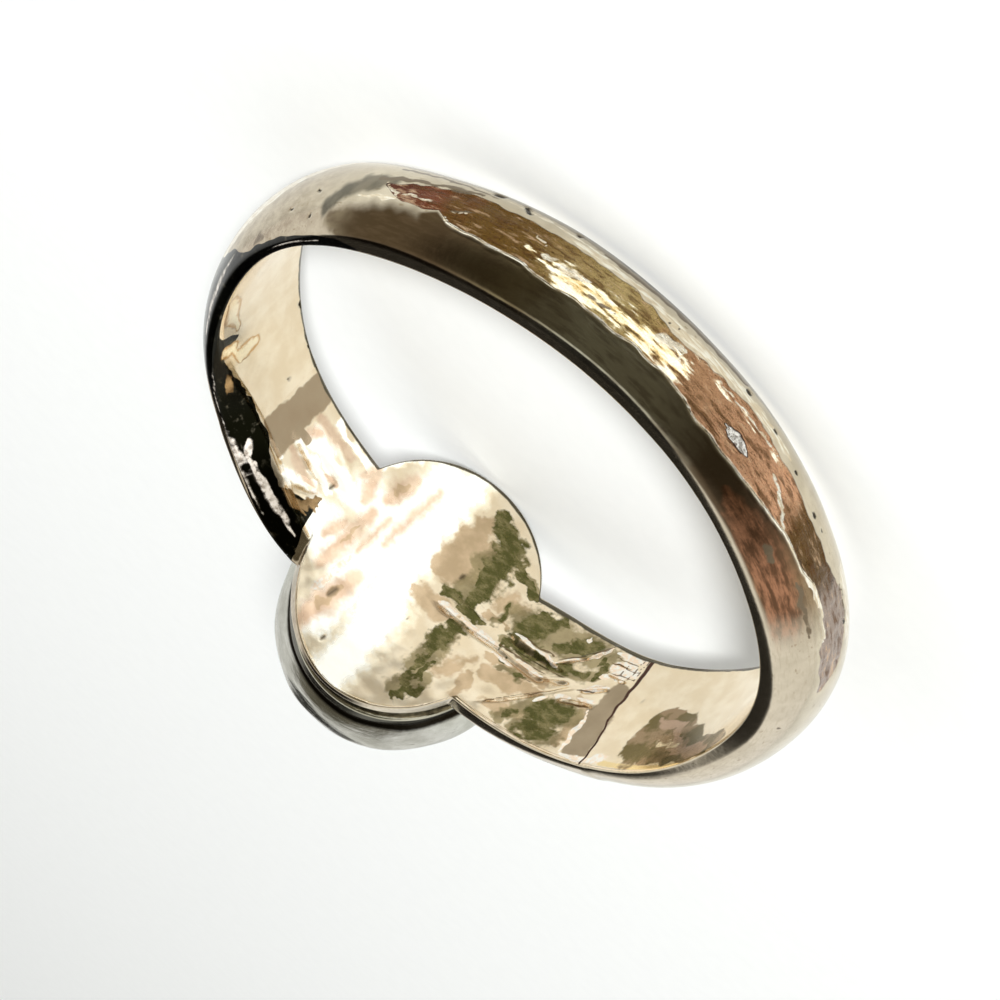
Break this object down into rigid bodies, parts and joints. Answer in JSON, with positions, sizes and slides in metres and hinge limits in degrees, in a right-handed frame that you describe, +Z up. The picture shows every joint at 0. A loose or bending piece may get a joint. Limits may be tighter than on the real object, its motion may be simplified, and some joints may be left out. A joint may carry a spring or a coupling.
{
  "type": "garnet solitaire ring",
  "caption": "Finger ring lying on its side, with a plain D-section band, a flat oval back plate and an oval collet that holds a faceted dark red stone.",
  "frame": {"origin": "middle of the ring's outline on the surface that it lies on", "axes": "+Z up from the surface, +Y from the back of the band towards the setting; the finger hole's axis leans from +Z towards -Y by 9.5 degrees, because the setting is wider than the band"},
  "size_m": [0.0196, 0.0216, 0.0085],
  "materials": {
    "gold": "polished and worn, with tarnish",
    "garnet": "polished facets"
  },
  "bodies": {
    "root": {"band_with_setting": "gold", "garnet": "garnet"}
  },
  "joints": []
}
